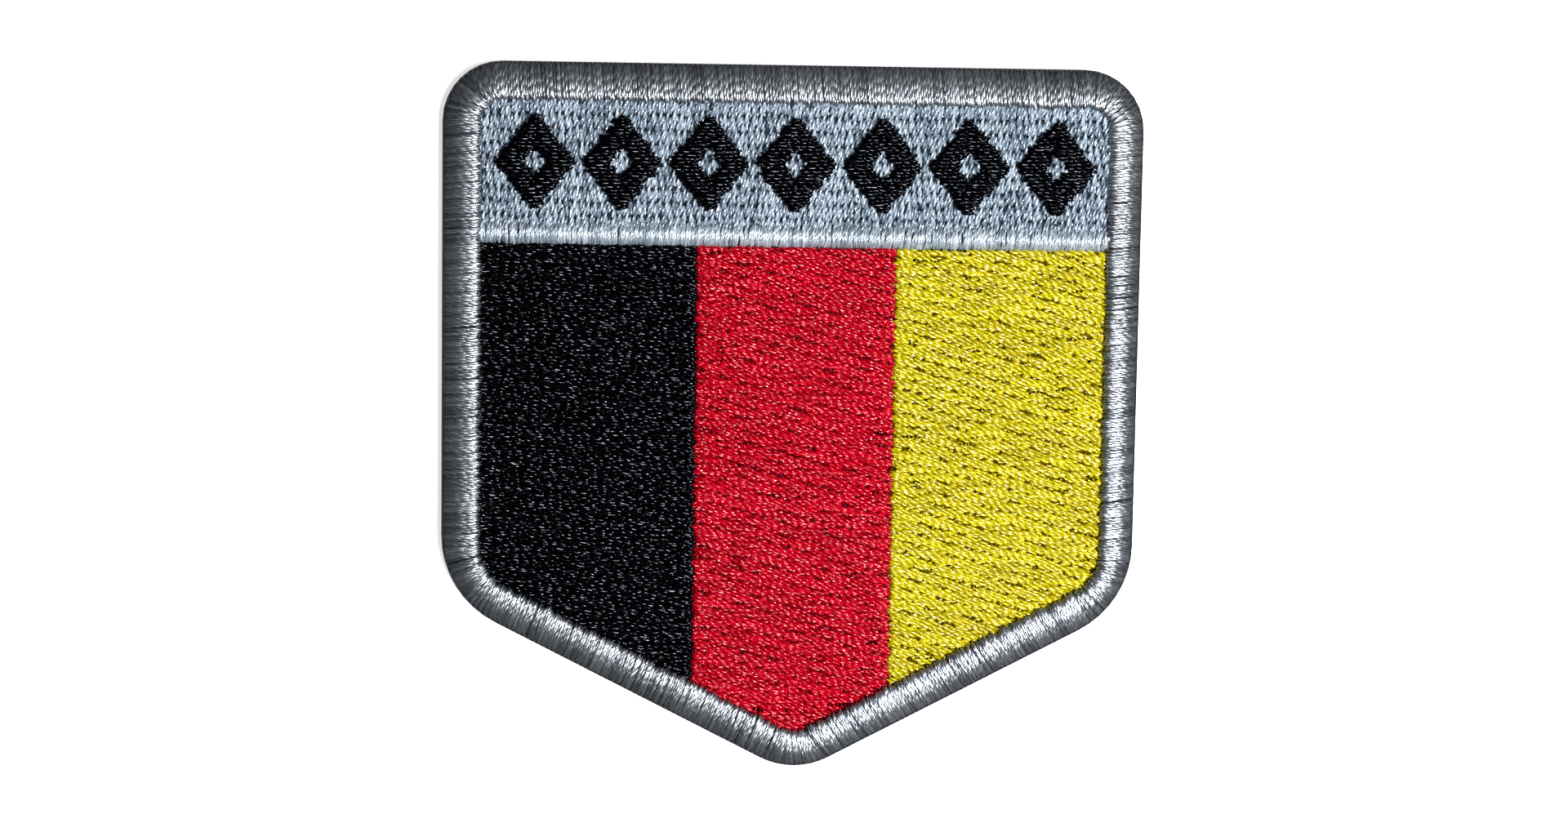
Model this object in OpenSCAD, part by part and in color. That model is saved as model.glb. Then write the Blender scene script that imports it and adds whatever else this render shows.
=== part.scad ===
// Embroidered shield patch, lying on its back with its face up.
// X runs to the viewer's right, Y towards the top of the shield, Z out of the face.
// The origin is under the middle of the patch, on the surface it lies on.

/* [Outline] */
// Width across the straight sides
patch_w = 63.5; // [50:0.5:90]
// Length of the straight sides, top edge to side corner, before rounding
side_h = 48.8; // [40:0.1:70]
// Depth of the point below the side corners, before rounding
point_h = 16.4; // [10:0.1:25]
// How far the point lies right of the middle
point_shift = 0.9; // [-2:0.1:2]
// Corner radius at the top
top_r = 5.6; // [4:0.1:10]
// Corner radius where the sides meet the point
side_r = 9.2; // [5:0.1:12]
// Corner radius of the point
point_r = 7; // [4:0.1:10]

/* [Border] */
// Width of the border along the left side
border_left_w = 3.4; // [2:0.1:4]
// Width of the border along the top
border_top_w = 3.3; // [2:0.1:4]
// Width of the border along the right side
border_right_w = 2.95; // [2:0.1:4]
// Width of the border along the two edges of the point
border_point_w = 3.35; // [2:0.1:4]
// Height of the border's crown
border_h = 2.45; // [2.2:0.05:4]
// Corner radius of the border's inner edge at the top and the point
window_r = 2.2; // [1:0.1:3]
// Corner radius of the border's inner edge at the side corners
window_side_r = 4; // [1:0.1:6]

/* [Cloth] */
// Thickness of the ground cloth with its stiffening
cloth_t = 1.0; // [0.8:0.1:1.3]
// How far the border wraps round the cloth's rim
wrap_t = 0.45; // [0.3:0.05:0.8]

/* [Fields] */
// Width of the black stripe
black_w = 19.5; // [10:0.1:25]
// Width of the red stripe
red_w = 18.6; // [10:0.1:25]
// Height of the stitching of the three stripes above the cloth
stripe_t = 0.65; // [0.4:0.05:1]
// Height of the stitching of the header panel above the cloth
panel_t = 0.9; // [0.5:0.05:1.2]
// Height of the header panel with its divider
header_h = 13.2; // [12:0.05:20]
// Width of the divider
divider_w = 1.6; // [0.8:0.05:2.5]
// Height of the divider's crown above the cloth
divider_t = 1.1; // [0.6:0.05:1.3]

/* [Ornament] */
// Height of a lozenge
lozenge_h = 9; // [6:0.1:10.5]
// Bare stretch of the panel between the row of lozenges and the border
lozenge_margin = 1.45; // [0.5:0.05:4]
// Gap between two lozenges
lozenge_gap = 0.5; // [0.3:0.1:2]
// Width of a lozenge's satin stroke
stroke_w = 2.0; // [1:0.1:2.2]
// Height of the satin stroke above the panel
stroke_t = 0.45; // [0.2:0.05:0.6]

/* [Hidden] */

// Clearance kept between two pieces of stitching, or stitching and cloth
gap = 0.05;
// Steps of each rounded corner
corner_steps = 8;
// How far the edge of a filled field is rounded off, across and down
field_edge = 0.3;
// Thickness of the slices that a field is hulled from
slice = 0.02;

lozenge_count = 7;

black_thread = "#101014";
red_thread = "#c21230";
yellow_thread = "#dccb12";
silver_thread = "#9da1a8";
white_thread = "#c6d0d8";
black_twill = "#1a1a1c";

// Sharp corners of the shield, clockwise from the top left
X = 0;
Y = 1;
OUTER_R = 2;
INNER_R = 3;
BORDER_W = 4;
// Columns: x, y, outer radius, inner radius, border width of the side that starts here
corners = [
    [-patch_w / 2, side_h, top_r, window_r, border_top_w],
    [patch_w / 2, side_h, top_r, window_r, border_right_w],
    [patch_w / 2, 0, side_r, window_side_r, border_point_w],
    [point_shift, -point_h, point_r, window_r, border_point_w],
    [-patch_w / 2, 0, side_r, window_side_r, border_left_w]
];
corner_count = len(corners);

// Cross-section of the border's bead, over the cloth and round its rim
// Columns: share of the border's width from the rim inwards, share of its height
ACROSS = 0;
UP = 1;
bead = [
    [0.030, 0.00],
    [0.000, 0.14],
    [0.004, 0.34],
    [0.035, 0.50],
    [0.110, 0.65],
    [0.230, 0.79],
    [0.380, 0.91],
    [0.540, 0.98],
    [0.680, 1.00],
    [0.810, 0.97],
    [0.910, 0.89],
    [0.970, 0.77],
    [1.000, 0.62]
];

// Cross-section of a lozenge's stroke, with the same columns
stroke = [
    [0.00, 0.00],
    [0.00, 0.45],
    [0.12, 0.80],
    [0.32, 0.98],
    [0.68, 0.98],
    [0.88, 0.80],
    [1.00, 0.45],
    [1.00, 0.00]
];

function unit(v) = v / norm(v);
function xy(corner) = [corner[X], corner[Y]];
function next(i) = (i + 1) % corner_count;
function previous(i) = (i + corner_count - 1) % corner_count;
// Inward normal of the side from p to q, which runs clockwise
function inward(p, q) = let (d = unit(q - p)) [d[Y], -d[X]];

// The corner where two sides meet once each is moved inwards by its own distance
function inset_corner(p, before, after, d_before, d_after) =
    let (
        n = inward(before, p),
        m = inward(p, after),
        det = n[X] * m[Y] - n[Y] * m[X]
    )
    p + [d_before * m[Y] - d_after * n[Y], d_after * n[X] - d_before * m[X]] / det;

// Points of the arc that rounds corner p between its neighbours
function round_corner(p, before, after, r) =
    let (
        to_before = unit(before - p),
        to_after = unit(after - p),
        half = acos(to_before * to_after) / 2,
        centre = p + unit(to_before + to_after) * r / sin(half),
        sweep = 180 - 2 * half,
        out = -unit(to_before + to_after),
        middle = atan2(out[Y], out[X])
    )
    [for (k = [0:corner_steps])
        let (a = middle + sweep * (0.5 - k / corner_steps))
        centre + r * [cos(a), sin(a)]];

// A closed outline from a list of corners and a list of their radii
function rounded(points, radii) =
    [for (i = [0:corner_count - 1])
        each round_corner(points[i], points[previous(i)], points[next(i)], radii[i])];

// The shield's sharp corners with every side moved inwards by a share of its border width plus d
function shield_corners(share, d) =
    [for (i = [0:corner_count - 1])
        inset_corner(
            xy(corners[i]), xy(corners[previous(i)]), xy(corners[next(i)]),
            share * corners[previous(i)][BORDER_W] + d,
            share * corners[i][BORDER_W] + d
        )];

function column(table, c) = [for (row = table) row[c]];
sharp_rim = shield_corners(0, 0);
raw_rim = rounded(sharp_rim, column(corners, OUTER_R));

// The middle of the rounded outline is moved to the origin
low = [min(column(raw_rim, X)), min(column(raw_rim, Y))];
high = [max(column(raw_rim, X)), max(column(raw_rim, Y))];
centre = (low + high) / 2;
function centred(points) = [for (p = points) p - centre];

rim = centred(raw_rim);
window = centred(rounded(shield_corners(1, 0), column(corners, INNER_R)));
// The cloth ends inside the wrap of the border
cloth_outline = centred(rounded(
    shield_corners(0, wrap_t + gap),
    [for (r = column(corners, OUTER_R)) r - wrap_t - gap]
));

// Inner faces of the border, where the fields end
window_left = centred(shield_corners(1, 0))[0][X];
window_right = centred(shield_corners(1, 0))[1][X];
window_top = centred(shield_corners(1, 0))[0][Y];
window_w = window_right - window_left;
red_left = window_left + black_w;
yellow_left = red_left + red_w;
header_bottom = window_top - header_h;
panel_bottom = header_bottom + divider_w;
field_low = -patch_w;

field_z = cloth_t + gap;
stripe_top = cloth_t + stripe_t;
panel_top = cloth_t + panel_t;
stroke_z = panel_top + gap;
stroke_top = panel_top + stroke_t;

// One ring of the border's section, as points all round the patch
function border_ring(share, z) =
    [for (i = [0:len(rim) - 1])
        let (p = rim[i] + (window[i] - rim[i]) * share)
        [p[X], p[Y], z]];

// The inner face of the border's wrap, a clearance away from the cloth's rim
function wrap_ring(z) =
    let (ring = centred(rounded(
        shield_corners(0, wrap_t),
        [for (r = column(corners, OUTER_R)) r - wrap_t]
    )))
    [for (p = ring) [p[X], p[Y], z]];

// Closed strip of triangles through a list of rings, the last joined to the first
module ring_loft(rings) {
    n = len(rings[0]);
    m = len(rings);
    points = [for (ring = rings) each ring];
    faces = [
        for (j = [0:m - 1])
            for (i = [0:n - 1])
                let (
                    a = j * n + i,
                    b = j * n + (i + 1) % n,
                    c = ((j + 1) % m) * n + (i + 1) % n,
                    d = ((j + 1) % m) * n + i
                )
                each [[a, c, b], [a, d, c]]
    ];
    polyhedron(points, faces, convexity = 6);
}

// Part of the border's window between two heights and two sides, drawn in by d
module field_shape(x0, x1, y0, y1, d) {
    intersection() {
        offset(delta = -d) polygon(window);
        translate([x0 + d, y0 + d]) square([x1 - x0 - 2 * d, y1 - y0 - 2 * d]);
    }
}

// A field of stitching: upright at its foot, rounded off along its upper edge
module field(x0, x1, y0, y1, top) {
    hull() {
        translate([0, 0, field_z])
            linear_extrude(top - field_edge - field_z)
                field_shape(x0, x1, y0, y1, gap);
        translate([0, 0, top - field_edge * 0.35])
            linear_extrude(slice)
                field_shape(x0, x1, y0, y1, gap + field_edge * 0.3);
        translate([0, 0, top - slice])
            linear_extrude(slice)
                field_shape(x0, x1, y0, y1, gap + field_edge);
    }
}

// A stripe below the header, from one upright side to another
module stripe(left, right) {
    field(left, right, field_low, header_bottom, stripe_top);
}

module ground_cloth() {
    color(black_twill) linear_extrude(cloth_t) polygon(cloth_outline);
}

module border() {
    color(silver_thread)
        ring_loft(concat(
            [for (s = bead) border_ring(s[ACROSS], s[UP] * border_h)],
            [border_ring(1, field_z), wrap_ring(field_z), wrap_ring(0)]
        ));
}

module header_panel() {
    color(white_thread) field(window_left, window_right, panel_bottom, window_top, panel_top);
}

// A half-round row of satin stitch along the panel's lower edge
module divider() {
    rise = cloth_t + divider_t - field_z;
    steps = 10;
    section = [for (k = [0:steps])
        let (a = 180 * k / steps)
        [cos(a) * (divider_w / 2 - gap), sin(a) * rise]];
    color(white_thread)
        translate([window_left + gap, header_bottom + divider_w / 2, field_z])
            rotate([90, 0, 90])
                linear_extrude(window_w - 2 * gap) polygon(section);
}

module stripe_black() {
    color(black_thread) stripe(window_left, red_left);
}

module stripe_red() {
    color(red_thread) stripe(red_left, yellow_left);
}

module stripe_yellow() {
    color(yellow_thread) stripe(yellow_left, window_right);
}

// A ring of four points at height z, drawn in by d from the sides of a lozenge, clockwise
function lozenge_ring(w, h, d, z) =
    let (
        side = norm([w, h]),
        x = w / 2 - d * side / h,
        y = h / 2 - d * side / w
    )
    [[-x, 0, z], [0, y, z], [x, 0, z], [0, -y, z]];

// Hollow lozenge number i, from the left, its stroke rounded on top
module lozenge(i) {
    pitch = (window_w - 2 * lozenge_margin + lozenge_gap) / lozenge_count;
    w = pitch - lozenge_gap;
    x = (i - (lozenge_count + 1) / 2) * pitch + (window_left + window_right) / 2;
    y = (panel_bottom + window_top) / 2;
    rise = stroke_top - stroke_z;
    color(black_thread)
        translate([x, y, stroke_z])
            ring_loft([
                for (s = stroke) lozenge_ring(w, lozenge_h, s[ACROSS] * stroke_w, s[UP] * rise)
            ]);
}

ground_cloth();
border();
header_panel();
divider();
stripe_black();
stripe_red();
stripe_yellow();
for (i = [1:lozenge_count])
    lozenge(i);
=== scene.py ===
import math
import bpy
import numpy as np
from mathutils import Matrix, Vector, geometry


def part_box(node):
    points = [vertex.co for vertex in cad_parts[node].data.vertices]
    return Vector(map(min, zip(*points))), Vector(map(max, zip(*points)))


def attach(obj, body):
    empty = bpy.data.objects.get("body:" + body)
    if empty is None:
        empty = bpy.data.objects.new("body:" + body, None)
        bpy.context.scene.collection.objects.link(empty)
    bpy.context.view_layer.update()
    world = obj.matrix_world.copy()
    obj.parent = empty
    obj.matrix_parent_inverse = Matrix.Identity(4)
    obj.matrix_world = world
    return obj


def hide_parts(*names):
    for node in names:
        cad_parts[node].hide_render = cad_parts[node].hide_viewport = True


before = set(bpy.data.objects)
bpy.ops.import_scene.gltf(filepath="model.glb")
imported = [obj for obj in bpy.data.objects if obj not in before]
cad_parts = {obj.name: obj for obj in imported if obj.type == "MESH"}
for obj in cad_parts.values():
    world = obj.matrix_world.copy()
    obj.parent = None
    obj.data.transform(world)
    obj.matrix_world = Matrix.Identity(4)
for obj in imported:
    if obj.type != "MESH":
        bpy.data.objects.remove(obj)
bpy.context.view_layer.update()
print("frame loaded")

mm = 0.001
toMm = (1 / mm, 1 / mm, 1 / mm)     # mapping scale that lets a pattern count in mm


def deselectAll():
    bpy.ops.object.select_all(action="DESELECT")


def pickEdges(mesh, test):
    # in object mode: selects the edges whose two ends pass the test
    mesh.vertices.foreach_set("select", [False] * len(mesh.vertices))
    mesh.polygons.foreach_set("select", [False] * len(mesh.polygons))
    for edge in mesh.edges:
        a, b = (mesh.vertices[i].co for i in edge.vertices)
        edge.select = bool(test(a, b))


def editMode(kind):
    bpy.ops.object.mode_set(mode="EDIT")
    bpy.ops.mesh.select_mode(type=kind)


def objectMode():
    bpy.ops.object.mode_set(mode="OBJECT")


def linear(hexColour):
    # sRGB hex to the linear colour that the shaders want
    channels = [int(hexColour[i:i + 2], 16) / 255 for i in (1, 3, 5)]
    return [c / 12.92 if c <= 0.04045 else ((c + 0.055) / 1.055) ** 2.4 for c in channels] + [1]


def addNode(tree, kind, settings=None, values=None, links=None):
    node = tree.nodes.new(kind)
    for name, value in (settings or {}).items():
        setattr(node, name, value)
    for socket, value in (values or {}).items():
        node.inputs[socket].default_value = value
    for socket, source in (links or {}).items():
        tree.links.new(source, node.inputs[socket])
    return node


def newMaterial(name):
    material = bpy.data.materials.new(name)
    material.use_nodes = True
    return material, material.node_tree, material.node_tree.nodes["Principled BSDF"]


def waveScale(pitch):
    # a wave texture repeats after 2 pi over 20 times its scale
    return 2 * math.pi / 20 / pitch


# Trilobal polyester embroidery thread, size 40, two plies twisted together. The twist breaks the
# gloss into short slanted glints, and the fine filaments scatter each glint. In the border and the
# divider the threads are pulled flat and lie close, so their gloss runs together in a streaky band.
threads = {
    # dark, light: colours of the stitches that take the light least and best
    # turn: mm for one turn of the twist
    # strands: plies that one tube stands for; in the fills every ply is a tube of its own
    # groove, grooveShadeWide, plyDepth: brightness of the painted shade in the crease beside a ply, how
    # far that shade spreads, and the crease's depth in mm
    # filaments, filamentDepth: how many round a tube, and their depth in mm; real ones are 0.02 mm
    # thick, which is too fine to show, so they are drawn coarser
    # streak: mm along the thread before a filament's shine changes
    # metallic: polyester has none, but the pale threads gleam in their own grey, as a metal does
    # roughness, dull, gleamLength: where a thread gleams, where it doesn't, mm from one to the other
    # gloss, tint: level and colour of the reflection
    "silver": {"name": "silverTrilobalPolyester", "dark": "#82868C", "light": "#BABEC4", "turn": 1.8,
               "strands": 2, "grooveShade": 0.8, "grooveShadeWide": 0.45, "plyDepth": 0.045, "filaments": 10,
               "filamentDepth": 0.04, "streak": 0.8, "metallic": 0.9, "roughness": 0.36,
               "dull": 0.43, "gleamLength": 1.0, "gloss": 0.8, "tint": "#FFFFFF"},
    "white": {"name": "whiteTrilobalPolyester", "dark": "#697684", "light": "#A3B0BD", "turn": 1.63,
              "strands": 1, "grooveShade": 0.3, "grooveShadeWide": 0.45, "plyDepth": 0.02, "filaments": 7,
              "filamentDepth": 0.04, "streak": 0.5, "metallic": 0.2, "roughness": 0.22,
              "dull": 0.33, "gleamLength": 0.8, "gloss": 1.0, "tint": "#FFFFFF"},
    "satin": {"name": "whiteTrilobalSatin", "dark": "#818D98", "light": "#B6C1CA", "turn": 1.63,
              "strands": 2, "grooveShade": 0.75, "grooveShadeWide": 0.45, "plyDepth": 0.05, "filaments": 12,
              "filamentDepth": 0.04, "streak": 0.6, "metallic": 0.3, "roughness": 0.31,
              "dull": 0.38, "gleamLength": 1.0, "gloss": 1.0, "tint": "#FFFFFF"},
    "black": {"name": "blackTrilobalPolyester", "dark": "#010102", "light": "#030304", "turn": 2.2,
              "strands": 1, "grooveShade": 0.4, "grooveShadeWide": 0.75, "plyDepth": 0.02, "filaments": 7,
              "filamentDepth": 0.035, "streak": 0.6, "metallic": 0.0, "roughness": 0.06,
              "dull": 0.2, "gleamLength": 0.8, "gloss": 0.24, "tint": "#E6ECFF"},
    "red": {"name": "redTrilobalPolyester", "dark": "#980018", "light": "#B00222", "turn": 1.45,
            "strands": 1, "grooveShade": 0.12, "grooveShadeWide": 0.8, "plyDepth": 0.02, "filaments": 8,
            "filamentDepth": 0.05, "streak": 0.3, "metallic": 0.0, "roughness": 0.13,
            "dull": 0.27, "gleamLength": 0.8, "gloss": 0.45, "tint": "#FFFFFF"},
    "yellow": {"name": "yellowTrilobalPolyester", "dark": "#A09200", "light": "#BEB200", "turn": 1.45,
               "strands": 1, "grooveShade": 0.12, "grooveShadeWide": 0.8, "plyDepth": 0.02, "filaments": 8,
               "filamentDepth": 0.05, "streak": 0.3, "metallic": 0.0, "roughness": 0.17,
               "dull": 0.3, "gleamLength": 0.8, "gloss": 0.9, "tint": "#FFFFFF"},
}
# the same for all of them
threadFinish = {
    "untwist": 0.7,             # share of the twist by which the filaments are turned back
    "moveOn": (40, 97),         # how far apart two stitches lie in the filament and the gleam noise
    "streakNoise": (0.3, 0.7),
    "streakTone": (0.86, 1.1),  # brightness of the dullest and of the brightest filament
    "gleamNoise": (0.42, 0.62),     # dull below the first, gleaming above the second
    "gleamAcross": 0.7,         # gleams in one turn round the thread
    "ior": 1.6,
}


def threadMaterial(look):
    material, tree, shader = newMaterial(look["name"])
    # the "thread" map gives mm along the thread, and turns round it counted along with the twist
    place = addNode(tree, "ShaderNodeUVMap", {"uv_map": "thread"})
    shade = addNode(tree, "ShaderNodeAttribute", {"attribute_name": "shade"})
    parts = addNode(tree, "ShaderNodeSeparateXYZ", links={0: place.outputs["UV"]})
    # round plies, with a sharp groove where they meet
    halfTurns = addNode(tree, "ShaderNodeMath", {"operation": "MULTIPLY"}, {1: look["strands"] * math.pi},
                        {0: parts.outputs["Y"]})
    swing = addNode(tree, "ShaderNodeMath", {"operation": "COSINE"}, links={0: halfTurns.outputs[0]})
    ply = addNode(tree, "ShaderNodeMath", {"operation": "ABSOLUTE"}, links={0: swing.outputs[0]})
    # the filaments of a ply are twisted back, so they lie almost straight along the thread
    slant = addNode(tree, "ShaderNodeMath", {"operation": "MULTIPLY_ADD"},
                    {1: threadFinish["untwist"] / look["turn"]},
                    {0: parts.outputs["X"], 2: parts.outputs["Y"]})
    lie = addNode(tree, "ShaderNodeCombineXYZ",
                  links={"X": parts.outputs["X"], "Y": slant.outputs[0], "Z": shade.outputs["Fac"]})
    filamentStep, gleamStep = threadFinish["moveOn"]
    comb = addNode(tree, "ShaderNodeMapping",
                   values={"Scale": (1 / look["streak"], look["filaments"], filamentStep)},
                   links={"Vector": lie.outputs[0]})
    filament = addNode(tree, "ShaderNodeTexNoise", {"noise_dimensions": "3D"},
                       {"Scale": 1, "Detail": 2, "Roughness": 0.6}, {"Vector": comb.outputs["Vector"]})
    # some stitches take the light better than their neighbours
    tone = addNode(tree, "ShaderNodeMix", {"data_type": "RGBA"},
                   {6: linear(look["dark"]), 7: linear(look["light"])}, {0: shade.outputs["Fac"]})
    # painted shade: the colour is darkened in the crease beside each ply, where the plies shade each other
    paintedGrooveShade = addNode(tree, "ShaderNodeMapRange",
                   values={"From Min": 0.0, "From Max": look["grooveShadeWide"],
                           "To Min": look["grooveShade"], "To Max": 1},
                   links={"Value": ply.outputs[0]})
    noise, bright = threadFinish["streakNoise"], threadFinish["streakTone"]
    streak = addNode(tree, "ShaderNodeMapRange",
                     values={"From Min": noise[0], "From Max": noise[1],
                             "To Min": bright[0], "To Max": bright[1]},
                     links={"Value": filament.outputs["Fac"]})
    both = addNode(tree, "ShaderNodeMath", {"operation": "MULTIPLY"},
                   links={0: paintedGrooveShade.outputs["Result"], 1: streak.outputs["Result"]})
    colour = addNode(tree, "ShaderNodeVectorMath", {"operation": "SCALE"},
                     links={0: tone.outputs[2], "Scale": both.outputs[0]})
    tree.links.new(colour.outputs["Vector"], shader.inputs["Base Color"])
    plyBump = addNode(tree, "ShaderNodeBump", values={"Strength": 1, "Distance": look["plyDepth"] * mm},
                      links={"Height": ply.outputs[0]})
    fineBump = addNode(tree, "ShaderNodeBump",
                       values={"Strength": 1, "Distance": look["filamentDepth"] * mm},
                       links={"Height": filament.outputs["Fac"], "Normal": plyBump.outputs["Normal"]})
    tree.links.new(fineBump.outputs["Normal"], shader.inputs["Normal"])
    # where a thread has been rubbed or lies twisted, its gleam is duller
    worn = addNode(tree, "ShaderNodeMapping",
                   values={"Scale": (1 / look["gleamLength"], threadFinish["gleamAcross"], gleamStep)},
                   links={"Vector": lie.outputs[0]})
    wear = addNode(tree, "ShaderNodeTexNoise", {"noise_dimensions": "3D"}, {"Scale": 1, "Detail": 1},
                   {"Vector": worn.outputs["Vector"]})
    noise = threadFinish["gleamNoise"]
    gleam = addNode(tree, "ShaderNodeMapRange",
                    values={"From Min": noise[0], "From Max": noise[1],
                            "To Min": look["dull"], "To Max": look["roughness"]},
                    links={"Value": wear.outputs["Fac"]})
    tree.links.new(gleam.outputs["Result"], shader.inputs["Roughness"])
    shader.inputs["Metallic"].default_value = look["metallic"]
    shader.inputs["IOR"].default_value = threadFinish["ior"]
    shader.inputs["Specular IOR Level"].default_value = look["gloss"]
    shader.inputs["Specular Tint"].default_value = linear(look["tint"])
    return material


# The underlay stitching below the rows: the same thread, crossing the other way. Its colour is the
# thread's own darkened, and darker still between its ribs, as painted shade for the slits between the
# stitches.
underlay = {
    "ribScale": 0.7,        # a rib every 0.45 mm
    # painted shade between the ribs
    "valleyShade": 0.45,         # brightness between the ribs, where it is 1 on them
    "depth": 0.1,           # mm
    "roughness": 0.8,
    "gloss": 0.1,
}


def underlayMaterial(name, colour, slope):
    material, tree, shader = newMaterial(name)
    place = addNode(tree, "ShaderNodeTexCoord")
    turned = addNode(tree, "ShaderNodeMapping",
                     values={"Rotation": (0, 0, math.radians(slope)), "Scale": toMm},
                     links={"Vector": place.outputs["Object"]})
    rows = addNode(tree, "ShaderNodeTexWave",
                   {"wave_type": "BANDS", "bands_direction": "X", "wave_profile": "SIN"},
                   {"Scale": underlay["ribScale"], "Distortion": 1.2, "Detail": 2, "Detail Scale": 1.2},
                   {"Vector": turned.outputs["Vector"]})
    # painted shade: the colour is full on the ribs and darkened between them
    lit = linear(colour)
    shaded = [underlay["valleyShade"] * channel for channel in lit[:3]] + [1]
    tone = addNode(tree, "ShaderNodeMix", {"data_type": "RGBA"}, {6: shaded, 7: lit},
                   {0: rows.outputs["Fac"]})
    tree.links.new(tone.outputs[2], shader.inputs["Base Color"])
    bump = addNode(tree, "ShaderNodeBump", values={"Strength": 1, "Distance": underlay["depth"] * mm},
                   links={"Height": rows.outputs["Fac"]})
    tree.links.new(bump.outputs["Normal"], shader.inputs["Normal"])
    shader.inputs["Roughness"].default_value = underlay["roughness"]
    shader.inputs["Specular IOR Level"].default_value = underlay["gloss"]
    return material


# Black polyester twill, woven with diagonal ribs and stiffened behind: matt, almost black.
twill = {
    "ribPitch": 0.35,       # mm between the diagonal ribs
    "ribSlant": 63,         # degrees
    "pickPitch": 0.17,      # mm between the threads that cross
    "pickHeight": 0.3,      # where the ribs have 1
    "depth": 0.06,          # mm
    # dark, light: colour in the valleys between the ribs and on their crests; the difference is painted
    # shade on the one black cloth
    "dark": "#060607",
    "light": "#1E1E22",
    "roughness": 0.75,
    "sheen": 0.15,
}


def twillMaterial():
    material, tree, shader = newMaterial("blackPolyesterTwill")
    place = addNode(tree, "ShaderNodeTexCoord")
    turned = addNode(tree, "ShaderNodeMapping",
                     values={"Rotation": (0, 0, math.radians(twill["ribSlant"])), "Scale": toMm},
                     links={"Vector": place.outputs["Object"]})
    ribs = addNode(tree, "ShaderNodeTexWave",
                   {"wave_type": "BANDS", "bands_direction": "X", "wave_profile": "SIN"},
                   {"Scale": waveScale(twill["ribPitch"]), "Distortion": 0.6, "Detail": 1},
                   {"Vector": turned.outputs["Vector"]})
    square = addNode(tree, "ShaderNodeMapping", values={"Scale": toMm},
                     links={"Vector": place.outputs["Object"]})
    picks = addNode(tree, "ShaderNodeTexWave",
                    {"wave_type": "BANDS", "bands_direction": "Y", "wave_profile": "SIN"},
                    {"Scale": waveScale(twill["pickPitch"]), "Distortion": 0.4, "Detail": 1},
                    {"Vector": square.outputs["Vector"]})
    height = addNode(tree, "ShaderNodeMath", {"operation": "MULTIPLY_ADD"}, {1: twill["pickHeight"]},
                     {0: picks.outputs["Fac"], 2: ribs.outputs["Fac"]})
    # painted shade: the colour follows the ribs, darker in their valleys and lighter on their crests
    tone = addNode(tree, "ShaderNodeMix", {"data_type": "RGBA"},
                   {6: linear(twill["dark"]), 7: linear(twill["light"])}, {0: ribs.outputs["Fac"]})
    tree.links.new(tone.outputs[2], shader.inputs["Base Color"])
    bump = addNode(tree, "ShaderNodeBump", values={"Strength": 1, "Distance": twill["depth"] * mm},
                   links={"Height": height.outputs[0]})
    tree.links.new(bump.outputs["Normal"], shader.inputs["Normal"])
    shader.inputs["Roughness"].default_value = twill["roughness"]
    shader.inputs["Sheen Weight"].default_value = twill["sheen"]
    return material


threadMaterials = {key: threadMaterial(look) for key, look in threads.items()}
print("thread materials made")


def threadPattern(name, sides, rings, tip, plies=1):
    # one stitch of thread as a tube from x = 0 to 1 for each ply, its closed ends drawn in
    deselectAll()
    bpy.ops.mesh.primitive_cylinder_add(vertices=sides, radius=1, depth=1, end_fill_type="NGON",
                                        location=(0.5, 0, 0), rotation=(0, math.pi / 2, 0))
    tube = bpy.context.object
    tube.name = name
    bpy.ops.object.transform_apply(location=True, rotation=True, scale=True)
    editMode("EDGE")
    bpy.ops.mesh.select_all(action="DESELECT")
    objectMode()
    pickEdges(tube.data, lambda a, b: abs(a.x - b.x) > 0.5)
    editMode("EDGE")
    bpy.ops.mesh.subdivide(number_cuts=rings - 2)
    bpy.ops.mesh.select_all(action="DESELECT")
    objectMode()
    pickEdges(tube.data, lambda a, b: abs(a.x - b.x) < 1e-4 and (a.x < 1e-4 or a.x > 1 - 1e-4))
    editMode("EDGE")
    bpy.ops.transform.resize(value=(1, tip, tip), center_override=(0.5, 0, 0))
    bpy.ops.mesh.select_all(action="SELECT")
    bpy.ops.mesh.normals_make_consistent(inside=False)
    objectMode()
    mesh = tube.data
    co = np.array([v.co for v in mesh.vertices])
    angle = np.arctan2(co[:, 2], co[:, 1])
    loops = np.array([v for face in mesh.polygons for v in face.vertices])
    sizes = np.array([len(face.vertices) for face in mesh.polygons])
    # turns round the ply, with the last face closed up to 1
    around = np.round(angle / (2 * math.pi), 6)[loops] % 1.0
    first = 0
    for size in sizes:
        part = around[first:first + size]
        if size == 4 and part.max() - part.min() > 0.5:
            part[part < 0.5] += 1
        first += size
    pattern = {
        "rings": rings,
        "ring": np.tile(np.rint(co[:, 0] * (rings - 1)).astype(int), plies),
        "angle": np.tile(angle, plies),
        "reach": np.tile(np.hypot(co[:, 1], co[:, 2]), plies),
        "ply": np.repeat(np.arange(plies), len(co)),
        "loops": np.concatenate([loops + len(co) * ply for ply in range(plies)]),
        "sizes": np.tile(sizes, plies),
        "around": np.tile(around, plies),
    }
    bpy.data.objects.remove(tube)
    bpy.data.meshes.remove(mesh)
    return pattern


def sway(t, sizes, count, rng):
    # smooth random wander along a thread, which is nothing at both ends
    waves = [rng.normal(0, size, (count, 1)) * np.sin(math.pi * k * t)[None, :]
             for k, size in enumerate(sizes, 1)]
    return sum(waves)


# no two stitches are quite alike
sewing = {
    "thickJitter": 0.05,    # share of the thread's thickness
    "turnJitter": 0.04,     # share of the twist
    "turnSway": (0.1, 0.05, 0.02),      # turns, along a stitch
    "spool": 50,            # mm of thread, on which each stitch starts at a place of its own
}


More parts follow.
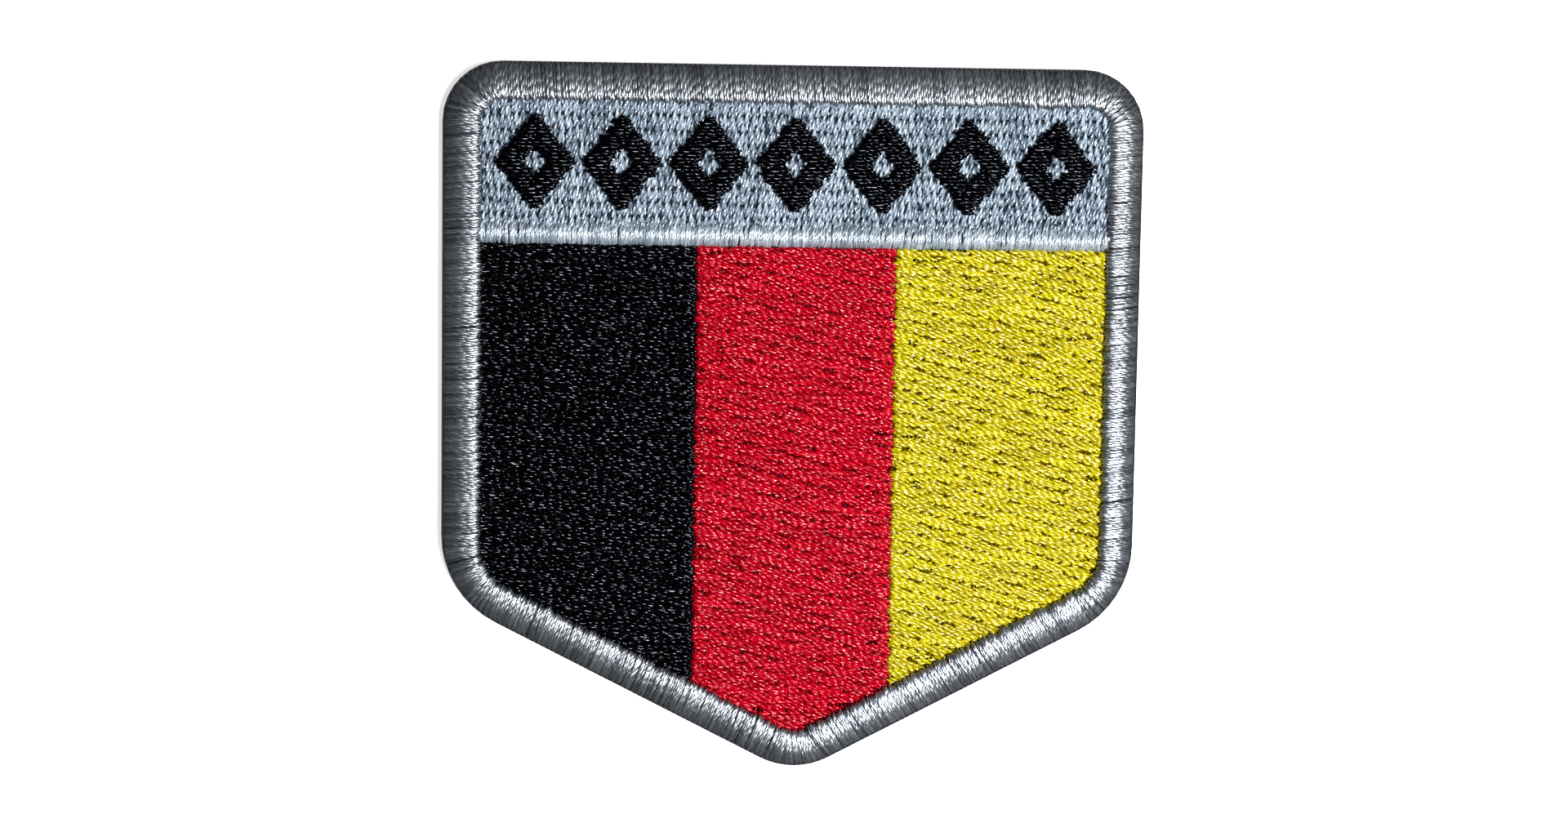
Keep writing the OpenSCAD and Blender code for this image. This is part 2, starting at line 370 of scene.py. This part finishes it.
def sewThreads(name, pattern, paths, sideways, width, height, turn, rng, plies=None):
    # one mesh of a stitch for each path: paths are (stitches, rings, 3), sideways is a unit vector
    # lying across each stitch, width and height scale the thread at every ring. With plies, which
    # gives how far a ply lies from the thread's middle and its own radius, two plies are twisted.
    count, rings = paths.shape[:2]
    along = np.gradient(paths, axis=1)
    along /= np.linalg.norm(along, axis=2, keepdims=True)
    side = np.broadcast_to(sideways[:, None, :], paths.shape)
    side = side - along * np.sum(side * along, axis=2, keepdims=True)
    side /= np.linalg.norm(side, axis=2, keepdims=True)
    up = np.cross(along, side)
    steps = np.linalg.norm(np.diff(paths, axis=1), axis=2)
    length = np.concatenate([np.zeros((count, 1)), np.cumsum(steps, axis=1)], axis=1) / mm
    start = rng.uniform(0, sewing["spool"], (count, 1))
    thick = 1 + rng.normal(0, sewing["thickJitter"], (count, 1))
    ring, angle, reach = pattern["ring"], pattern["angle"], pattern["reach"]
    # the twist runs a little tighter or looser from stitch to stitch, and along each one
    travelled = (length + start) / (turn * (1 + rng.normal(0, sewing["turnJitter"], (count, 1))))
    travelled = travelled + sway(np.linspace(0, 1, rings), sewing["turnSway"], count, rng)
    if plies:
        offset, radius = (size * mm for size in plies)
        turned = 2 * math.pi * (travelled[:, ring] + 0.5 * pattern["ply"])
        over = offset * np.cos(turned) + radius * reach * np.cos(angle + turned)
        out = offset * np.sin(turned) + radius * reach * np.sin(angle + turned)
    else:
        over, out = reach * np.cos(angle), reach * np.sin(angle)
    wide = (np.broadcast_to(width, (count, rings))[:, ring] * thick * over)[:, :, None]
    high = (np.broadcast_to(height, (count, rings))[:, ring] * thick * out)[:, :, None]
    points = paths[:, ring] + wide * side[:, ring] + high * up[:, ring]
    size = len(ring)
    loops = (pattern["loops"][None, :] + size * np.arange(count)[:, None]).ravel()
    sizes = np.tile(pattern["sizes"], count)
    mesh = bpy.data.meshes.new(name)
    mesh.vertices.add(points.shape[0] * size)
    mesh.vertices.foreach_set("co", points.reshape(-1).astype(np.float32))
    mesh.loops.add(len(loops))
    mesh.loops.foreach_set("vertex_index", loops.astype(np.int32))
    mesh.polygons.add(len(sizes))
    mesh.polygons.foreach_set("loop_start", (np.cumsum(sizes) - sizes).astype(np.int32))
    mesh.polygons.foreach_set("use_smooth", np.ones(len(sizes), bool))
    mesh.update(calc_edges=True)
    mesh.validate()
    place = mesh.uv_layers.new(name="thread")
    u = (length + start)[:, ring[pattern["loops"]]]
    v = np.broadcast_to(pattern["around"], u.shape)
    if not plies:
        v = v - u / turn
    place.data.foreach_set("uv", np.stack([u, v], axis=-1).reshape(-1).astype(np.float32))
    shade = mesh.attributes.new("shade", "FLOAT", "POINT")
    shade.data.foreach_set("value", np.repeat(rng.uniform(0, 1, count), size).astype(np.float32))
    piece = bpy.data.objects.new(name, mesh)
    bpy.context.scene.collection.objects.link(piece)
    return piece


def copyOfSolid(node, name, cutAt=None, **away):
    # a copy of a CAD solid with its loose triangles merged, and cut level where a height is given
    deselectAll()
    piece = bpy.data.objects.new(name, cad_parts[node].data.copy())
    bpy.context.scene.collection.objects.link(piece)
    piece.data.materials.clear()
    bpy.context.view_layer.objects.active = piece
    piece.select_set(True)
    editMode("VERT")
    bpy.ops.mesh.select_all(action="SELECT")
    bpy.ops.mesh.remove_doubles(threshold=0.001 * mm)
    if cutAt is not None:
        bpy.ops.mesh.select_all(action="SELECT")
        bpy.ops.mesh.bisect(plane_co=(0, 0, cutAt), plane_no=(0, 0, 1), use_fill=True, **away)
    objectMode()
    return piece


def bedFrom(node, name, depth, inset):
    # the underlay: a copy of the field's solid, cut off below the rows and drawn in at its edge
    low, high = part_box(node)
    middle = (low + high) / 2
    piece = copyOfSolid(node, name, high.z - depth * mm, clear_outer=True)
    editMode("VERT")
    bpy.ops.mesh.select_all(action="SELECT")
    shrink = [1 - 2 * inset * mm / (high[i] - low[i]) for i in (0, 1)] + [1]
    bpy.ops.transform.resize(value=shrink, center_override=(middle.x, middle.y, middle.z))
    objectMode()
    return piece


def finishPiece(piece, parts, node, materials):
    # joins the parts into the piece, dresses it, hides its CAD node and hangs it on the root body
    deselectAll()
    for one, material in zip([piece] + parts, materials):
        one.data.materials.clear()
        one.data.materials.append(material)
    for part in parts:
        part.select_set(True)
    piece.select_set(True)
    bpy.context.view_layer.objects.active = piece
    if parts:
        bpy.ops.object.join()
    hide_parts(node)
    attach(piece, "root")


def outlineOf(names):
    # outline of some CAD nodes seen from above, anticlockwise, in metres
    points = [Vector(v.co[:2]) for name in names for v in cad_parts[name].data.vertices]
    outline = np.array([points[i] for i in geometry.convex_hull_2d(points)])
    nextOne = np.roll(outline, -1, axis=0)
    area = np.sum(outline[:, 0] * nextOne[:, 1] - outline[:, 1] * nextOne[:, 0])
    return outline if area > 0 else outline[::-1]


def rowSpan(outline, point, along):
    # where a straight row of stitching enters and leaves an outline
    start, end = -1.0, 1.0      # metres, well outside the patch
    for a, b in zip(outline, np.roll(outline, -1, axis=0)):
        inward = np.array([a[1] - b[1], b[0] - a[0]])
        speed = along @ inward
        room = (point - a) @ inward
        if abs(speed) < 1e-12:      # the row runs along this side
            if room < 0:
                return None
        elif speed > 0:
            start = max(start, -room / speed)
        else:
            end = min(end, -room / speed)
    return (start, end) if end > start else None


# Rows of machine fill. Each row starts its stitches further along than the one before, so the
# needle holes fall on slanting lines.
stripeRows = {
    "slope": 0,             # degrees
    "rowPitch": 0.214,
    "stitch": 4.05,
    "shift": -0.2,          # stitches, from one row to the next
    "squeeze": 1.0,         # share of the thread's width that is left to it between its neighbours
    "plies": (0.12, 0.195),     # from the thread's middle to the middle of a ply, and its radius
    "sides": 3,             # of the tube of a ply
    "rings": 15,
}
panelRows = {
    "slope": 90,
    "rowPitch": 0.323,
    "stitch": 2.6,
    "shift": 0.5,
    "squeeze": 0.84,
    "plies": (0.12, 0.19),
    "sides": 4,
    "rings": 12,
}
# ends: how the rows end at their left and right, or lower and upper, side, by rowEnds below
# underlay: colour of the bed below the rows, the thread's colour darkened as painted shade for the slits
fills = {
    "stripe_black": {**stripeRows, "piece": "blackStitching", "thread": "black",
                     "slot": "black_thread", "seed": 11, "ends": ("border", "over"),
                     "underlay": "#020203"},
    "stripe_red": {**stripeRows, "piece": "redStitching", "thread": "red",
                   "slot": "red_thread", "seed": 12, "ends": ("under", "under"),
                   "underlay": "#5A000E"},
    "stripe_yellow": {**stripeRows, "piece": "yellowStitching", "thread": "yellow",
                      "slot": "yellow_thread", "seed": 13, "ends": ("over", "border"),
                      "underlay": "#4E4200"},
    "header_panel": {**panelRows, "piece": "panelStitching", "thread": "white",
                     "slot": "white_thread", "seed": 14, "ends": ("divider", "border"),
                     "underlay": "#2A333C"},
}
# how the rows end at the field's sides: mm past the solid's edge, the length over which the thread
# comes down, and how deep. Rows that end on a slant always run in under the border.
rowEnds = {
    "border": (0.5, 0.2, 0.0),
    "over": (0.4, 0.3, 0.08),
    "under": (0.1, 0.5, 0.4),
    "divider": (0.8, 0.3, 0.2),
}
fillThread = {
    "seat": 0.8,            # how far the thread's middle lies below the top, in its own radii
    "dive": 0.5,            # how far a stitch sinks at its needle holes
    "diveLength": 0.33,
    "narrow": 0.45,         # share of its width, and below of its height, that it loses there
    "flatten": 0.35,
    "tip": 0.5,             # how far the closed ends are drawn in
    "overlap": 0.1,         # both threads of a needle hole reach past it
    "holeJitter": 0.08,     # along the row
    "rowJitter": 0.025,
    "heightJitter": 0.035,
    "edgeJitter": 0.1,
    "shortest": 0.9,        # mm of a stitch
    "shortestRow": 0.5,
    "slanting": 0.1,        # a row that ends this far from the field's side ends on a slant
    "holes": 12,            # tried in a row, to each side of the patch's middle
    "parting": (0.06, 0.4),     # mm that a hole pushes its neighbours aside, and over what length
    "sideSway": (0.04, 0.03, 0.02),
    "heightSway": (0.0, 0.02, 0.03, 0.03, 0.02),
    "bedDepth": 0.24,       # how far the underlay lies below the top, and in from the edge
    "bedInset": 0.1,
}


def fillRows(outline, look, rng):
    # needle holes of all the stitches: starts and ends, in metres, how far and how deep each end
    # falls, and where the row's holes lie, in stitches from the middle of the patch
    turned = math.radians(look["slope"])
    along = np.array([math.cos(turned), math.sin(turned)])
    across = np.array([-along[1], along[0]])
    low, high = (outline @ across).min(), (outline @ across).max()
    rows = int(round((high - low) / (look["rowPitch"] * mm)))
    pitch = (high - low) / rows
    stitch = look["stitch"] * mm
    shortest = fillThread["shortest"] * mm
    sides = (outline @ along).min(), (outline @ along).max()
    starts, ends, falls, dives, phases = [], [], [], [], []
    for row in range(rows):
        base = across * (low + (row + 0.5) * pitch)
        span = rowSpan(outline, base, along)
        if span is None or span[1] - span[0] < fillThread["shortestRow"] * mm:
            continue
        kinds = ["border" if abs(stop - side) > fillThread["slanting"] * mm else kind
                 for stop, side, kind in zip(span, sides, look["ends"])]
        (reachA, fallA, diveA), (reachB, fallB, diveB) = (rowEnds[kind] for kind in kinds)
        left = span[0] + (rng.normal(0, fillThread["edgeJitter"]) - reachA) * mm
        right = span[1] + (rng.normal(0, fillThread["edgeJitter"]) + reachB) * mm
        phase = row * look["shift"] % 1
        holes = [(k + phase) * stitch for k in range(-fillThread["holes"], fillThread["holes"])]
        holes = [h + rng.normal(0, fillThread["holeJitter"]) * mm for h in holes]
        holes = [h for h in holes if left + shortest < h < right - shortest]
        stops = [left] + holes + [right]
        offsets = rng.normal(0, fillThread["rowJitter"], len(stops)) * mm
        knots = [base + along * s + across * o for s, o in zip(stops, offsets)]
        fall = [fallA] + [fillThread["diveLength"]] * len(holes) + [fallB]
        dive = [diveA] + [fillThread["dive"]] * len(holes) + [diveB]
        past = along * fillThread["overlap"] * mm
        starts += knots[:1] + [knot - past for knot in knots[1:-1]]
        ends += [knot + past for knot in knots[1:-1]] + knots[-1:]
        falls += list(zip(fall[:-1], fall[1:]))
        dives += list(zip(dive[:-1], dive[1:]))
        phases += [phase] * (len(stops) - 1)
    return [np.array(starts), np.array(ends), np.array(falls) * mm, np.array(dives) * mm, np.array(phases)]


def fillPaths(starts, ends, falls, dives, phases, look, crown, rng):
    # each stitch rises from its hole, lies flat with a slight wander, and dives again
    rings = look["rings"]
    count = len(starts)
    t = np.linspace(0, 1, rings)
    flat = starts[:, None, :] * (1 - t)[None, :, None] + ends[:, None, :] * t[None, :, None]
    run = ends - starts
    length = np.linalg.norm(run, axis=1)
    run = run / length[:, None]
    left = np.stack([-run[:, 1], run[:, 0]], axis=1)
    aside = sway(t, fillThread["sideSway"], count, rng)
    # it bends away from the holes of the row on its left, and from those on its right
    push, reach = fillThread["parting"]
    along = np.sum(flat * run[:, None, :], axis=2) / (look["stitch"] * mm) - phases[:, None]
    for side in (-1, 1):
        away = along - side * look["shift"]
        away = (away - np.rint(away)) * look["stitch"] / reach
        aside = aside - side * push * np.exp(-away ** 2)
    flat = flat + aside[:, :, None] * mm * left[:, None, :]
    fromStart = np.exp(-t[None, :] * length[:, None] / falls[:, :1])
    fromEnd = np.exp(-(1 - t)[None, :] * length[:, None] / falls[:, 1:])
    sunk = np.maximum(fromStart, fromEnd)
    crown = crown + rng.normal(0, fillThread["heightJitter"] * mm, (count, 1))
    z = crown - np.maximum(dives[:, :1] * fromStart, dives[:, 1:] * fromEnd)
    z = z + sway(t, fillThread["heightSway"], count, rng) * mm
    paths = np.concatenate([flat, z[:, :, None]], axis=2)
    sideways = np.concatenate([left, np.zeros((count, 1))], axis=1)
    return paths, sideways, sunk


for node, look in fills.items():
    rng = np.random.default_rng(look["seed"])
    fillPattern = threadPattern("fillStitch", look["sides"], look["rings"], fillThread["tip"], 2)
    low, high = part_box(node)
    rows = fillRows(outlineOf([node]), look, rng)
    crown = high.z - fillThread["seat"] * sum(look["plies"]) * mm
    paths, sideways, sunk = fillPaths(*rows, look, crown, rng)
    wide = look["squeeze"] * (1 - fillThread["narrow"] * sunk)
    tall = 1 - fillThread["flatten"] * sunk
    piece = sewThreads(look["piece"], fillPattern, paths, sideways, wide, tall,
                       threads[look["thread"]]["turn"], rng, look["plies"])
    bed = bedFrom(node, look["piece"] + "Bed", fillThread["bedDepth"], fillThread["bedInset"])
    dull = underlayMaterial(look["piece"] + "ShadedUnderlay", look["underlay"], look["slope"])
    finishPiece(piece, [bed], node, [threadMaterials[look["thread"]], dull])
    print(look["piece"], len(paths), "stitches")


# Satin stitch over a padded edge: every thread starts behind the rim, comes round it and over the
# crown, and dives where the fields begin.
border = {
    "seed": 21,
    "pitch": 0.214,         # mm along the rim
    "halfWidth": 0.175,
    "sides": 5,             # of a thread's tube
    "tip": 0.35,
    "reach": 0.3,           # how far the tips pass the fields' edge
    "innerJitter": 0.1,
    "endFrom": 0.6,         # share of the width from which on the two above move a thread
    "heightJitter": 0.03,
    "unevenFrom": 1,        # mm up, below which all threads lie equally high
    "sideSway": (0.02, 0.02, 0.01),
    "heightSway": (0.0, 0.01, 0.01, 0.01),
    "lean": 0.3,            # how far a thread leans from square to the edge
    "leanJitter": 0.03,
    "core": 0.42,           # how far the padding lies below the CAD bead
    # underlay: colour of the padding below the threads, a dark grey as painted shade
    "underlay": "#3A3B40",
    # share of the border's width from the rim, height in mm, height along the top edge, where the
    # crown lies further in, and half the thickness of the thread, which is pulled flat round the rim
    "spine": [(0.78, 0.12, 0.12, 0.06), (0.30, 0.12, 0.12, 0.06), (0.07, 0.32, 0.32, 0.06),
              (0.052, 0.75, 0.75, 0.06), (0.07, 1.05, 1.05, 0.06), (0.11, 1.34, 1.30, 0.06),
              (0.18, 1.62, 1.52, 0.07), (0.27, 1.86, 1.71, 0.08), (0.36, 2.05, 1.86, 0.09),
              (0.45, 2.18, 1.96, 0.10), (0.54, 2.27, 2.05, 0.11), (0.63, 2.32, 2.13, 0.12),
              (0.72, 2.34, 2.19, 0.12), (0.81, 2.33, 2.24, 0.12), (0.89, 2.28, 2.25, 0.12),
              (0.95, 2.14, 2.18, 0.11), (1.00, 1.85, 1.95, 0.08)],
    "taper": (0.95, 0.8, 0.45),     # share of its width that a thread keeps at its last rings
}


def evenlyRound(outline, pitch):
    # points spaced evenly round a closed outline
    closed = np.vstack([outline, outline[:1]])
    steps = np.linalg.norm(np.diff(closed, axis=0), axis=1)
    travelled = np.concatenate([[0], np.cumsum(steps)])
    count = int(round(travelled[-1] / pitch))
    at = (np.arange(count) + 0.5) * travelled[-1] / count
    return np.stack([np.interp(at, travelled, closed[:, i]) for i in (0, 1)], axis=1)


def nearestOn(outline, points):
    # the nearest place on a closed outline to each point
    best = np.full(len(points), np.inf)
    found = np.zeros_like(points)
    for a, b in zip(outline, np.roll(outline, -1, axis=0)):
        edge = b - a
        t = np.clip((points - a) @ edge / (edge @ edge), 0, 1)
        place = a + t[:, None] * edge
        far = np.linalg.norm(points - place, axis=1)
        closer = far < best
        best[closer] = far[closer]
        found[closer] = place[closer]
    return found


fieldNames = list(fills) + ["divider"]
rng = np.random.default_rng(border["seed"])
rim = evenlyRound(outlineOf(["border"]), border["pitch"] * mm)
window = nearestOn(outlineOf(fieldNames), rim)
count = len(rim)
inward = window - rim
reachIn = np.linalg.norm(inward, axis=1, keepdims=True)
inward = inward / reachIn
edgeway = np.stack([-inward[:, 1], inward[:, 0]], axis=1)
spine = np.array(border["spine"])
rings = len(spine)
share = np.broadcast_to(spine[:, 0], (count, rings)).copy()
endLong = (border["reach"] + rng.normal(0, border["innerJitter"], (count, 1))) * mm / reachIn
share += endLong * np.clip((spine[:, 0] - border["endFrom"]) / (1 - border["endFrom"]), 0, 1)[None, :]
t = np.linspace(0, 1, rings)
lean = border["lean"] * mm * (spine[:, 0] - 0.5)[None, :]
lean = lean + rng.normal(0, border["leanJitter"] * mm, (count, 1))
lean = lean + sway(t, border["sideSway"], count, rng) * mm
flat = rim[:, None, :] + inward[:, None, :] * (share * reachIn)[:, :, None]
flat = flat + edgeway[:, None, :] * lean[:, :, None]
bulge = rng.normal(0, border["heightJitter"], (count, 1)) + sway(t, border["heightSway"], count, rng)
onTop = np.clip(-inward[:, 1:], 0, 1) ** 2      # 1 along the top edge, 0 on the others
rise = spine[:, 1] * (1 - onTop) + spine[:, 2] * onTop
rise = (rise + bulge * (spine[:, 1] > border["unevenFrom"])) * mm
paths = np.concatenate([flat, rise[:, :, None]], axis=2)
sideways = np.concatenate([edgeway, np.zeros((count, 1))], axis=1)
tall = spine[:, 3] * mm
wide = np.full(rings, border["halfWidth"] * mm)
wide[-len(border["taper"]):] *= border["taper"]
borderPattern = threadPattern("borderStitch", border["sides"], rings, border["tip"])
piece = sewThreads("borderStitching", borderPattern, paths, sideways, wide, tall,
                   threads["silver"]["turn"], rng)

core = copyOfSolid("border", "borderCore")
sink = core.modifiers.new("sink", "DISPLACE")
sink.strength = -border["core"] * mm
sink.mid_level = 0
bpy.ops.object.modifier_apply(modifier=sink.name)
dull = underlayMaterial("borderStitchingShadedUnderlay", border["underlay"], 0)
finishPiece(piece, [core], "border", [threadMaterials["silver"], dull])
print("borderStitching", count, "stitches")


# A narrow row of satin stitch that stands up along the panel's lower edge.
divider = {
    "seed": 31,
    "pitch": 0.21,
    "halfWidth": 0.17,
    "halfHeight": 0.12,
    "sides": 5,
    "tip": 0.5,
    "lean": 0.12,
    "leanJitter": 0.03,
    "heightJitter": 0.02,
    "lowerJitter": 0.06,    # share of the row's width
    "upperJitter": 0.15,
    "sideSway": (0.03, 0.03, 0.02),
    # share of the row's width from its lower edge, and share of its height
    "spine": [(-0.04, 0.05), (0.00, 0.19), (0.06, 0.36), (0.12, 0.52), (0.19, 0.66), (0.27, 0.78),
              (0.37, 0.87), (0.50, 0.93), (0.65, 0.95), (0.80, 0.93), (0.95, 0.87), (1.10, 0.79),
              (1.25, 0.68)],
    "taper": (0.9, 0.75, 0.45),
    "bedDepth": 0.4,        # mm, as in the fills
    "bedInset": 0.15,
    # underlay: colour of the bed below the stitches, a dark grey as painted shade
    "underlay": "#3A444E",
}
rng = np.random.default_rng(divider["seed"])
low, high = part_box("divider")
count = int(round((high.x - low.x) / (divider["pitch"] * mm)))
x = low.x + (np.arange(count) + 0.5) / count * (high.x - low.x)
spine = np.array(divider["spine"])
rings = len(spine)
lower, upper = np.clip(0.5 - spine[:, 0], 0, 1), np.clip(spine[:, 0] - 0.5, 0, 1)
share = spine[:, 0] + rng.normal(0, divider["lowerJitter"], (count, 1)) * lower
share = share + rng.normal(0, divider["upperJitter"], (count, 1)) * upper
y = low.y + share * (high.y - low.y)
z = low.z + spine[:, 1] * (high.z - low.z) + rng.normal(0, divider["heightJitter"] * mm, (count, 1))
lean = divider["lean"] * mm * (spine[:, 0] - 0.5) + rng.normal(0, divider["leanJitter"] * mm, (count, 1))
lean = lean + sway(np.linspace(0, 1, rings), divider["sideSway"], count, rng) * mm
paths = np.stack([x[:, None] + lean, y, z], axis=2)
sideways = np.tile([-1.0, 0, 0], (count, 1))
wide = np.ones(rings)
wide[-len(divider["taper"]):] = divider["taper"]
dividerPattern = threadPattern("dividerStitch", divider["sides"], rings, divider["tip"])
piece = sewThreads("dividerStitching", dividerPattern, paths, sideways, divider["halfWidth"] * mm * wide,
                   divider["halfHeight"] * mm * wide, threads["satin"]["turn"], rng)
bed = bedFrom("divider", "dividerBed", divider["bedDepth"], divider["bedInset"])
dull = underlayMaterial("dividerShadedUnderlay", divider["underlay"], 90)
finishPiece(piece, [bed], "divider", [threadMaterials["satin"], dull])
print("dividerStitching", count, "stitches")


# Raised satin stitch in level rows. Every row ends a little further in or out than its
# neighbours, so the slanting edges are finely jagged.
lozenge = {
    "seed": 41,
    "count": 7,
    "pitch": 0.32,
    "stroke": 2.0,          # mm, width of the lozenge's stroke
    "split": 3.1,           # a row wider than this is sewn as two, which meet anywhere near its middle
    "splitJitter": 0.5,
    "overlap": 0.2,
    "plies": (0.095, 0.15),
    "sides": 4,
    "rings": 11,
    "tip": 0.5,
    "halfHeight": 0.2,      # how far the thread's middle lies below the solid's top
    "foot": 0.1,            # how far a stitch reaches into the panel
    "dome": 0.7,            # 1 for round, less for a flatter top
    "endJitter": 0.12,
    "rowJitter": 0.04,
    "heightJitter": 0.02,
    "shortest": 0.6,        # row that is still sewn
    "shortestStitch": 0.5,
}
lozengePattern = threadPattern("lozengeStitch", lozenge["sides"], lozenge["rings"], lozenge["tip"], 2)


def lozengeRows(low, high, rng):
    # starts and ends of the rows, a pair for each arm where the lozenge is open or wide
    centre = (low + high) / 2
    w, h = (high.x - low.x) / 2, (high.y - low.y) / 2
    side = math.hypot(w, h)
    stroke = lozenge["stroke"] * mm
    holeW, holeH = w - stroke * side / h, h - stroke * side / w
    rows = int(round(2 * h / (lozenge["pitch"] * mm)))
    starts, ends = [], []
    for row in range(rows):
        y = -h + (row + 0.5) * 2 * h / rows
        outer = w * (1 - abs(y) / h)
        if outer < lozenge["shortest"] * mm / 2:
            continue
        inner = max(0.0, holeW * (1 - abs(y) / holeH))
        if inner > 0:
            spans = [(-outer, -inner), (inner, outer)]
        elif 2 * outer > lozenge["split"] * mm:
            meet = rng.normal(0, lozenge["splitJitter"]) * mm
            past = lozenge["overlap"] * mm
            spans = [(-outer, meet + past), (meet - past, outer)]
        else:
            spans = [(-outer, outer)]
        for a, b in spans:
            a += rng.normal(0, lozenge["endJitter"]) * mm
            b += rng.normal(0, lozenge["endJitter"]) * mm
            starts.append((centre.x + a, centre.y + y))
            ends.append((centre.x + max(b, a + lozenge["shortestStitch"] * mm), centre.y + y))
    return np.array(starts), np.array(ends)


for i in range(1, lozenge["count"] + 1):
    node = "lozenge_%d" % i
    rng = np.random.default_rng(lozenge["seed"] + i)
    low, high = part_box(node)
    starts, ends = lozengeRows(low, high, rng)
    count, rings = len(starts), lozengePattern["rings"]
    starts[:, 1] += rng.normal(0, lozenge["rowJitter"], count) * mm
    ends[:, 1] += rng.normal(0, lozenge["rowJitter"], count) * mm
    t = 0.5 - 0.5 * np.cos(math.pi * np.linspace(0, 1, rings))
    flat = starts[:, None, :] * (1 - t)[None, :, None] + ends[:, None, :] * t[None, :, None]
    dome = np.sqrt(np.clip(1 - (2 * t - 1) ** 2, 0, 1)) ** lozenge["dome"]
    foot, crown = low.z - lozenge["foot"] * mm, high.z - lozenge["halfHeight"] * mm
    z = foot + (crown - foot) * dome[None, :] + rng.normal(0, lozenge["heightJitter"] * mm, (count, 1))
    paths = np.concatenate([flat, z[:, :, None]], axis=2)
    sideways = np.tile([0, 1.0, 0], (count, 1))
    piece = sewThreads("lozengeStitching_%d" % i, lozengePattern, paths, sideways, 1, 1,
                       threads["black"]["turn"], rng, lozenge["plies"])
    finishPiece(piece, [], node, [threadMaterials["black"]])
print("lozenges sewn")


# Black twill with its stiffening. Its underside is lifted a little, so that the ends of the
# border's threads can lie below it.
ground = {"lift": 0.22}     # mm
cloth = copyOfSolid("ground_cloth", "twillGround", ground["lift"] * mm, clear_inner=True)
cloth.data.materials.append(twillMaterial())
low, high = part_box("ground_cloth")
cut = outlineOf(["ground_cloth"])
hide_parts("ground_cloth")
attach(cloth, "root")


studio = {
    "floor": "#F4F4F2",
    "floorSize": 4,         # all places and sizes here in metres
    "floorDrop": 0.0001,
    "floorRoughness": 0.9,
    "floorGlow": 0.6,
    "keyPlace": (0.11, -0.03, 0.26),
    "keySize": 0.11,
    "keyPower": 1.52,       # watts
    "fillPlace": (0.03, -0.12, 0.6),
    "fillSize": 0.5,
    "fillPower": 0.3,
    "skyColour": (0.9, 0.95, 1.0, 1),
    "sky": 0.04,
    "band": 0.25,           # strength of the pale band, how far below the horizon, and how wide
    "bandDepth": 0.2,
    "bandReach": 0.2,
    "cameraPlace": (-0.003642, 0.021291, 0.228942),     # as the patch's outline in the photo asks
    "cameraTurn": (-5.17, -0.715, 0.875),       # degrees
    "lens": 57.6534,        # mm, on a sensor of 36
    "sensor": 36,
    "clipStart": 0.005,
}

deselectAll()
bpy.ops.mesh.primitive_plane_add(size=studio["floorSize"], location=(0, 0, -studio["floorDrop"]))
floor = bpy.context.object
floor.name = "floor"
bpy.ops.object.transform_apply(location=True)
# pale matt paper: an even, almost white ground with a faint shadow
paper, tree, shader = newMaterial("paleMattFloor")
shader.inputs["Base Color"].default_value = linear(studio["floor"])
shader.inputs["Roughness"].default_value = studio["floorRoughness"]
shader.inputs["Emission Color"].default_value = linear(studio["floor"])
shader.inputs["Emission Strength"].default_value = studio["floorGlow"]
floor.data.materials.append(paper)
# the floor throws no light up into the stitches, and glows a little so that it stays pale far away
floor.visible_diffuse = False
floor.visible_glossy = False


def softbox(name, place, size, power):
    # a square light that looks at the patch
    deselectAll()
    bpy.ops.object.light_add(type="AREA", location=place)
    light = bpy.context.object
    light.name = name
    light.data.shape = "SQUARE"
    light.data.size = size
    light.data.energy = power
    light.rotation_euler = (-Vector(place)).to_track_quat("-Z", "Y").to_euler()


softbox("keyLight", studio["keyPlace"], studio["keySize"], studio["keyPower"])
softbox("fillLight", studio["fillPlace"], studio["fillSize"], studio["fillPower"])

world = bpy.data.worlds.new("studioWorld")
world.use_nodes = True
sky = world.node_tree.nodes["Background"]
sky.inputs["Color"].default_value = studio["skyColour"]
# a dim sky, with a paler band a little below the horizon, where the far floor would shine on the rim
toward = addNode(world.node_tree, "ShaderNodeTexCoord")
parts = addNode(world.node_tree, "ShaderNodeSeparateXYZ", links={0: toward.outputs["Generated"]})
below = addNode(world.node_tree, "ShaderNodeMath", {"operation": "ADD"}, {1: studio["bandDepth"]},
                {0: parts.outputs["Z"]})
away = addNode(world.node_tree, "ShaderNodeMath", {"operation": "ABSOLUTE"}, links={0: below.outputs[0]})
band = addNode(world.node_tree, "ShaderNodeMapRange", {"interpolation_type": "SMOOTHSTEP"},
               {"From Min": 0, "From Max": studio["bandReach"], "To Min": studio["band"],
                "To Max": studio["sky"]}, {"Value": away.outputs[0]})
world.node_tree.links.new(band.outputs["Result"], sky.inputs["Strength"])
bpy.context.scene.world = world
bpy.context.scene.view_settings.view_transform = "Standard"
bpy.context.scene.view_settings.look = "Medium High Contrast"

deselectAll()
bpy.ops.object.camera_add(location=studio["cameraPlace"],
                          rotation=[math.radians(a) for a in studio["cameraTurn"]])
camera = bpy.context.object
camera.name = "camera"
camera.data.lens = studio["lens"]
camera.data.sensor_width = studio["sensor"]
camera.data.clip_start = studio["clipStart"]
bpy.context.scene.camera = camera
print("studio ready")
